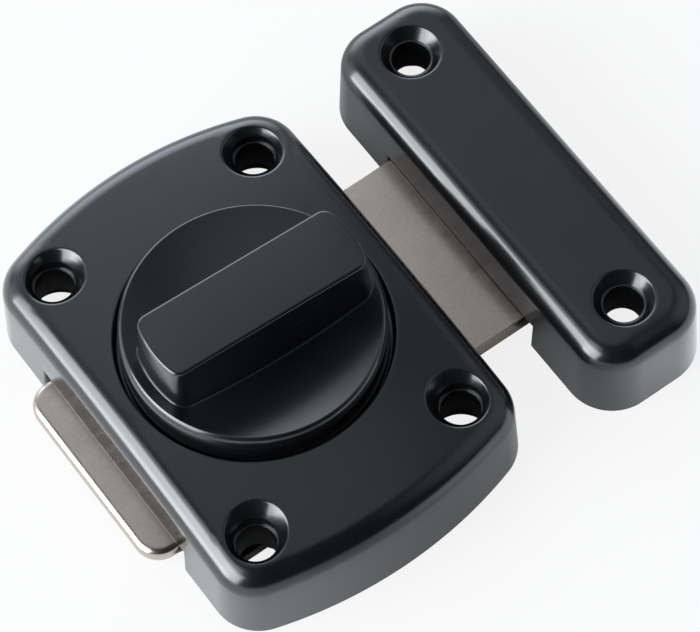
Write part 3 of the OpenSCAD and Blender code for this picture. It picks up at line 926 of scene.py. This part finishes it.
def noise(tree, coordinates, scale, detail=3.0, roughness=0.5, stretch=(1, 1, 1)):
    """A noise texture in object space; scale is in cells per metre."""
    mapping = tree.nodes.new("ShaderNodeMapping")
    feed(tree, mapping, Vector=coordinates, Scale=stretch)
    texture = tree.nodes.new("ShaderNodeTexNoise")
    feed(tree, texture, Vector=mapping.outputs["Vector"], Scale=scale, Detail=detail, Roughness=roughness)
    return texture.outputs["Fac"]


def vary(tree, factor, low, high):
    """Maps a noise factor to a range of numbers."""
    return mapped(tree, factor, NOISE_RANGE, (low, high), "LINEAR")


def tint(tree, factor, dark, light):
    """Maps a noise factor to a range of colours."""
    ramp = tree.nodes.new("ShaderNodeValToRGB")
    for element, position, colour in zip(ramp.color_ramp.elements, NOISE_RANGE, (dark, light)):
        element.position = position
        element.color = (*colour, 1)
    feed(tree, ramp, Fac=factor)
    return ramp.outputs["Color"]


def bump(tree, height, distance, below=None):
    """Normals of a noise that rises by a distance in metres, on top of another bump's normals."""
    node = tree.nodes.new("ShaderNodeBump")
    feed(tree, node, Strength=1.0, Distance=distance, Height=height)
    if below is not None:
        feed(tree, node, Normal=below)
    return node.outputs["Normal"]


def node_material(name):
    """A new node material: its tree, its main shader and object coordinates."""
    material = bpy.data.materials.new(name)
    material.use_nodes = True
    tree = material.node_tree
    coordinates = tree.nodes.new("ShaderNodeTexCoord").outputs["Object"]
    return material, tree, tree.nodes["Principled BSDF"], coordinates


def black_coat():
    """Smooth semi-gloss powder coat on a casting: fine orange peel under a clear gloss."""
    material, tree, shader, coordinates = node_material("cast_black")
    cloud = noise(tree, coordinates, scale=60, detail=2)
    patches = noise(tree, coordinates, scale=220)
    peel = bump(tree, noise(tree, coordinates, scale=1400, detail=2, roughness=0.45), PEEL_DEPTH)
    feed(tree, shader, Base_Color=tint(tree, cloud, *BLACK_COLOURS),
         Roughness=vary(tree, patches, *BLACK_ROUGHNESS), IOR=COAT_IOR, Normal=peel,
         Coat_Weight=1.0, Coat_Roughness=GLOSS_ROUGHNESS, Coat_IOR=COAT_IOR, Coat_Normal=peel)
    return material


def satin_steel():
    """Satin steel strip: fine tumbled speckle, a faint grain along the strip and a soft cloudy sheen."""
    material, tree, shader, coordinates = node_material("bolt_steel")
    grain = noise(tree, coordinates, scale=900, detail=4, roughness=0.6, stretch=GRAIN_STRETCH)
    speckle = noise(tree, coordinates, scale=2600, roughness=0.6)
    cloud = noise(tree, coordinates, scale=120)
    mixed = math_node(tree, "ADD", math_node(tree, "MULTIPLY", cloud, 1 - SPECKLE_SHARE),
                      math_node(tree, "MULTIPLY", speckle, SPECKLE_SHARE))
    feed(tree, shader, Metallic=1.0, Base_Color=tint(tree, mixed, *STEEL_COLOURS),
         Roughness=vary(tree, grain, *STEEL_ROUGHNESS),
         Normal=bump(tree, speckle, SPECKLE_DEPTH, bump(tree, grain, GRAIN_DEPTH)))
    return material


def zinc_plating():
    """Bright zinc plating with a faint mottle."""
    material, tree, shader, coordinates = node_material("zinc_plated")
    mottle = noise(tree, coordinates, scale=350, detail=4, roughness=0.6)
    feed(tree, shader, Metallic=1.0, Base_Color=tint(tree, mottle, *ZINC_COLOURS),
         Roughness=vary(tree, mottle, *ZINC_ROUGHNESS),
         Normal=bump(tree, noise(tree, coordinates, scale=1800), ZINC_DEPTH))
    return material


def natural_nylon():
    """Milky nylon."""
    material, tree, shader, coordinates = node_material("nylon")
    cloud = noise(tree, coordinates, scale=250)
    feed(tree, shader, Base_Color=tint(tree, cloud, *NYLON_COLOURS),
         Roughness=vary(tree, cloud, *NYLON_ROUGHNESS),
         Normal=bump(tree, noise(tree, coordinates, scale=1500, detail=2), NYLON_DEPTH))
    return material


def dress(piece, material):
    """Gives every face of a piece one material."""
    piece.data.materials.clear()
    piece.data.materials.append(material)
    piece.data.polygons.foreach_set("material_index", [0] * len(piece.data.polygons))


# Camera, fitted to the photograph's outlines and screw hole rims: lengths in millimetres, clipping in metres
CAMERA_AZIMUTH = math.radians(-122.355)
CAMERA_ELEVATION = math.radians(62.082)
CAMERA_ROLL = math.radians(-3.848)
CAMERA_DISTANCE = 571.806
CAMERA_PAN = (-13.623, -10.084)
FOCAL_PX = 3792.5
IMAGE_W_PX = 700
SENSOR_MM = 36.0
CAMERA_CLIP = (0.01, 20)


def make_camera():
    """Camera with the photograph's view, and no shift."""
    ce, se = math.cos(CAMERA_ELEVATION), math.sin(CAMERA_ELEVATION)
    forward = -Vector((ce * math.cos(CAMERA_AZIMUTH), ce * math.sin(CAMERA_AZIMUTH), se))
    level = forward.cross(Vector((0, 0, 1))).normalized()
    upright = level.cross(forward)
    right = level * math.cos(CAMERA_ROLL) + upright * math.sin(CAMERA_ROLL)
    up = upright * math.cos(CAMERA_ROLL) - level * math.sin(CAMERA_ROLL)
    place = (-forward * CAMERA_DISTANCE - right * CAMERA_PAN[0] - up * CAMERA_PAN[1]) * MM
    data = bpy.data.cameras.new("camera")
    data.sensor_fit = "HORIZONTAL"
    data.sensor_width = SENSOR_MM
    data.lens = FOCAL_PX * SENSOR_MM / IMAGE_W_PX
    data.clip_start, data.clip_end = CAMERA_CLIP
    camera = link("camera", data)
    rotation = Matrix((right, up, -forward)).transposed().to_4x4()
    camera.matrix_world = Matrix.Translation(place) @ rotation
    bpy.context.scene.camera = camera


# Studio, as the object sees it: level, tint, and glows of azimuth, elevation and half width in degrees, and
# radiance
WORLD_LEVEL = 0.035
STUDIO_TINT = (0.84, 0.93, 1.03)
WORLD_GLOWS = (
    (170, 44, 24, 3.0),
    (180, 20, 24, 2.2),
    (163, 0, 22, 3.5),
    (150, 5, 44, 1.2),
    (87, 33, 44, 0.62),
    (70, 5, 44, 2.2),
    (75, 78, 24, 0.38),
    (51, 33, 44, 0.2),
    (339, 33, 44, 0.44),
)
# Left soft box: azimuth and elevation in degrees, distance and size in metres, and radiance
LEFT_BOX = (172, 20, 1.2, (1.28, 1.07), 4.8)
# Table: half its width, and its level just under the object's foot, in metres
TABLE_HALF = 1.0
TABLE_Z = -0.00005
TABLE_COLOUR = (0.85, 0.85, 0.85, 1)
# Table in reflections, with painted light: lowest level, then azimuth, start and gain of the painted light to
# the window side and of the painted light at the far right, the distance in metres over which that one comes
# in, and the tint
TABLE_LEVEL = 0.35
TABLE_WINDOW = (165, -0.6, 0.9)
TABLE_RIGHT = (325, 0.5, 0.9)
TABLE_RIGHT_FROM = (0.04, 0.08)
TABLE_TINT = (0.93, 0.97, 1.0)
# Shade under the object in reflections: its reach in metres, samples, and the openness that it goes over
SHADE_REACH = 0.03
SHADE_SAMPLES = 6
SHADE_OPENNESS = (0.1, 0.45)
# Share of the white that cameras see, and of the level that gloss and glass see
TABLE_CAMERA_SHARE = 0.85
TABLE_MIRROR_SHARE = 0.9


def direction(azimuth, elevation):
    """Unit vector of a direction in degrees; azimuth 0 is +X and elevation 90 is +Z."""
    a, e = math.radians(azimuth), math.radians(elevation)
    return Vector((math.cos(e) * math.cos(a), math.cos(e) * math.sin(a), math.sin(e)))


def along(tree, vector, azimuth, elevation):
    """How far a vector reaches along a direction in degrees."""
    return vector_node(tree, "DOT_PRODUCT", vector, direction(azimuth, elevation)).outputs["Value"]


def make_world():
    """White to the camera; for the object, a dim studio with soft glows."""
    world = bpy.data.worlds.new("surround")
    bpy.context.scene.world = world
    world.use_nodes = True
    tree = world.node_tree
    ray = tree.nodes.new("ShaderNodeTexCoord").outputs["Generated"]
    level = WORLD_LEVEL
    for azimuth, elevation, spread, radiance in WORLD_GLOWS:
        towards = along(tree, ray, azimuth, elevation)
        glow = mapped(tree, towards, (math.cos(math.radians(spread)), 1), (0, radiance))
        level = math_node(tree, "ADD", glow, level)
    studio = mix(tree, "RGBA", 1, (*STUDIO_TINT, 1), level, "MULTIPLY")
    is_camera = tree.nodes.new("ShaderNodeLightPath").outputs["Is Camera Ray"]
    feed(tree, tree.nodes["Background"], Color=mix(tree, "RGBA", is_camera, studio, WHITE))


def painted_table_light_and_shade(tree):
    """Strength of the table for gloss and glass, with painted light and painted shade: brighter to the window
    side and at the far right, and a painted shade right under the object."""
    place = tree.nodes.new("ShaderNodeTexCoord").outputs["Object"]
    bearing = vector_node(tree, "NORMALIZE", place).outputs["Vector"]
    distance = vector_node(tree, "LENGTH", place).outputs["Value"]
    # Painted light: the table brighter towards the window side, and towards the far right further out
    azimuth, start, gain = TABLE_WINDOW
    window = mapped(tree, along(tree, bearing, azimuth, 0), (start, 1), (TABLE_LEVEL, TABLE_LEVEL + gain))
    azimuth, start, gain = TABLE_RIGHT
    right = mapped(tree, along(tree, bearing, azimuth, 0), (start, 1), (0, gain))
    right = math_node(tree, "MULTIPLY", right, mapped(tree, distance, TABLE_RIGHT_FROM, (0, 1)))
    table = math_node(tree, "MINIMUM", math_node(tree, "ADD", window, right), 1.0)
    # Painted shade: the table darker right under the object, by how open it is there
    openness = tree.nodes.new("ShaderNodeAmbientOcclusion")
    openness.samples = SHADE_SAMPLES
    feed(tree, openness, Distance=SHADE_REACH)
    shade = mapped(tree, openness.outputs["AO"], SHADE_OPENNESS, (0, 1))
    return math_node(tree, "MULTIPLY", table, shade)


def table_white():
    """White table top. Cameras see it white by its own colour, with the object's soft shadow; gloss and glass
    see it by painted_table_light_and_shade."""
    material = bpy.data.materials.new("table_white")
    material.use_nodes = True
    tree = material.node_tree
    tree.nodes.remove(tree.nodes["Principled BSDF"])
    path = tree.nodes.new("ShaderNodeLightPath")
    is_camera = path.outputs["Is Camera Ray"]
    is_mirrored = math_node(tree, "MAXIMUM", path.outputs["Is Glossy Ray"],
                            path.outputs["Is Transmission Ray"])
    lit = tree.nodes.new("ShaderNodeBsdfDiffuse")
    feed(tree, lit, Color=TABLE_COLOUR)
    white = tree.nodes.new("ShaderNodeEmission")
    feed(tree, white, Color=mix(tree, "RGBA", is_camera, (*TABLE_TINT, 1), WHITE),
         Strength=mix(tree, "FLOAT", is_camera, painted_table_light_and_shade(tree), 1.0))
    share = math_node(tree, "MAXIMUM", math_node(tree, "MULTIPLY", is_camera, TABLE_CAMERA_SHARE),
                      math_node(tree, "MULTIPLY", is_mirrored, TABLE_MIRROR_SHARE))
    surface = tree.nodes.new("ShaderNodeMixShader")
    for value, socket in zip((share, lit.outputs["BSDF"], white.outputs["Emission"]), surface.inputs):
        put(tree, value, socket)
    feed(tree, tree.nodes["Material Output"], Surface=surface.outputs["Shader"])
    return material


def make_floor():
    """The table top under the object."""
    mesh = bpy.data.meshes.new("floor")
    h, z = TABLE_HALF, TABLE_Z
    mesh.from_pydata([(-h, -h, z), (h, -h, z), (h, h, z), (-h, h, z)], [], [(0, 1, 2, 3)])
    floor = link("floor", mesh)
    mesh.materials.append(table_white())


def soft_box(name, azimuth, elevation, distance, size, radiance):
    """A soft box that faces the object's middle, from a direction in degrees, of a given radiance."""
    place = direction(azimuth, elevation) * distance
    data = bpy.data.lights.new(name, "AREA")
    data.shape = "RECTANGLE"
    data.size, data.size_y = size
    data.energy = radiance * math.pi * size[0] * size[1]
    lamp = link(name, data)
    lamp.location = place
    lamp.rotation_euler = (-place).to_track_quat("-Z", "Y").to_euler()


# Materials by slot
COATS = {
    "cast_black": black_coat,
    "bolt_steel": satin_steel,
    "zinc_plated": zinc_plating,
    "nylon": natural_nylon,
}
# Pieces: their maker, the CAD node that they replace, their body and their slot
PIECES = (
    (make_housing, "housing", "case", "cast_black"),
    (make_keeper, "keeper", "case", "cast_black"),
    (make_thumbturn, "thumbturn", "turn", "cast_black"),
    (make_bolt, "bolt", "slide", "bolt_steel"),
)
# CAD nodes that stay, by slot
STAYING = {
    "zinc_plated": ("back_plate", "back_screw_1", "back_screw_2", "back_screw_3", "back_screw_4",
                    "thrust_washer", "cam", "cam_screw"),
    "bolt_steel": ("drive_pin",),
    "nylon": ("friction_ring",),
}


def main():
    """Camera, pieces, materials and studio."""
    make_camera()
    materials = {slot: maker() for slot, maker in COATS.items()}
    for maker, node, body, slot in PIECES:
        piece = maker()
        dress(piece, materials[slot])
        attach(piece, body)
        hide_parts(node)
    for slot, nodes in STAYING.items():
        for name in nodes:
            dress(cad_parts[name], materials[slot])
    make_world()
    make_floor()
    soft_box("left", *LEFT_BOX)
    bpy.context.scene.view_settings.view_transform = "Standard"


main()
